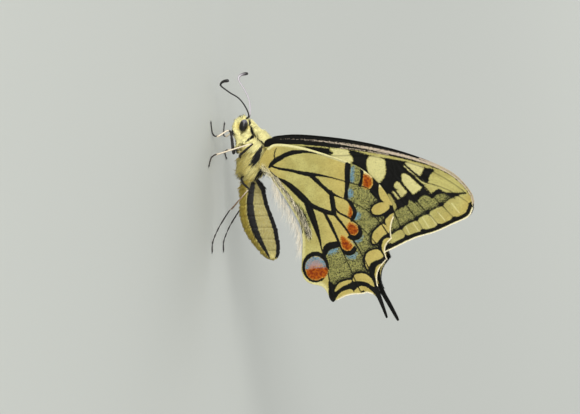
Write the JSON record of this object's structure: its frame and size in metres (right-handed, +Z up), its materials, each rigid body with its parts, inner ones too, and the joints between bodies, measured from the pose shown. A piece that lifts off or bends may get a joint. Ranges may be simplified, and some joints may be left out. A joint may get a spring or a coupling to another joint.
{
  "type": "swallowtail butterfly",
  "caption": "Life-size swallowtail butterfly standing with its tailed, yellow and black wings closed over its back.",
  "frame": {"origin": "on the ground, under the middle of the insect's box", "axes": "+Z up, -X towards the head, -Y towards the insect's left side"},
  "size_m": [0.0454, 0.0168, 0.0473],
  "materials": {
    "cream_hair": "soft pale yellow body hair in short tufts",
    "black_hair": "soft black body hair",
    "ochre_hair": "short ochre hair with black stripes along the abdomen",
    "eye": "glossy dark brown compound eye",
    "horn": "black, finely ringed horn of legs, antennae and tongue",
    "wing_membrane": "pale yellow scaled wing with black veins and bars, blue, orange and red spots"
  },
  "bodies": {
    "root": {"head": "cream_hair", "palp_left": "cream_hair", "palp_right": "cream_hair", "neck": "black_hair", "thorax": "cream_hair", "abdomen": "ochre_hair", "eye_left": "eye", "eye_right": "eye", "proboscis": "horn", "antenna_left": "horn", "antenna_right": "horn", "forewing_left": "wing_membrane", "forewing_right": "wing_membrane", "hindwing_left": "wing_membrane", "hindwing_right": "wing_membrane", "front_left_coxa": "cream_hair", "front_right_coxa": "cream_hair", "front_left_femur": "horn", "front_left_tibia": "horn", "front_left_tarsus": "horn", "mid_left_femur": "horn", "mid_left_tibia": "horn", "mid_left_tarsus": "horn", "hind_left_femur": "horn", "hind_left_tibia": "horn", "hind_left_tarsus": "horn", "front_right_femur": "horn", "front_right_tibia": "horn", "front_right_tarsus": "horn", "mid_right_femur": "horn", "mid_right_tibia": "horn", "mid_right_tarsus": "horn", "hind_right_femur": "horn", "hind_right_tibia": "horn", "hind_right_tarsus": "horn"}
  },
  "joints": []
}
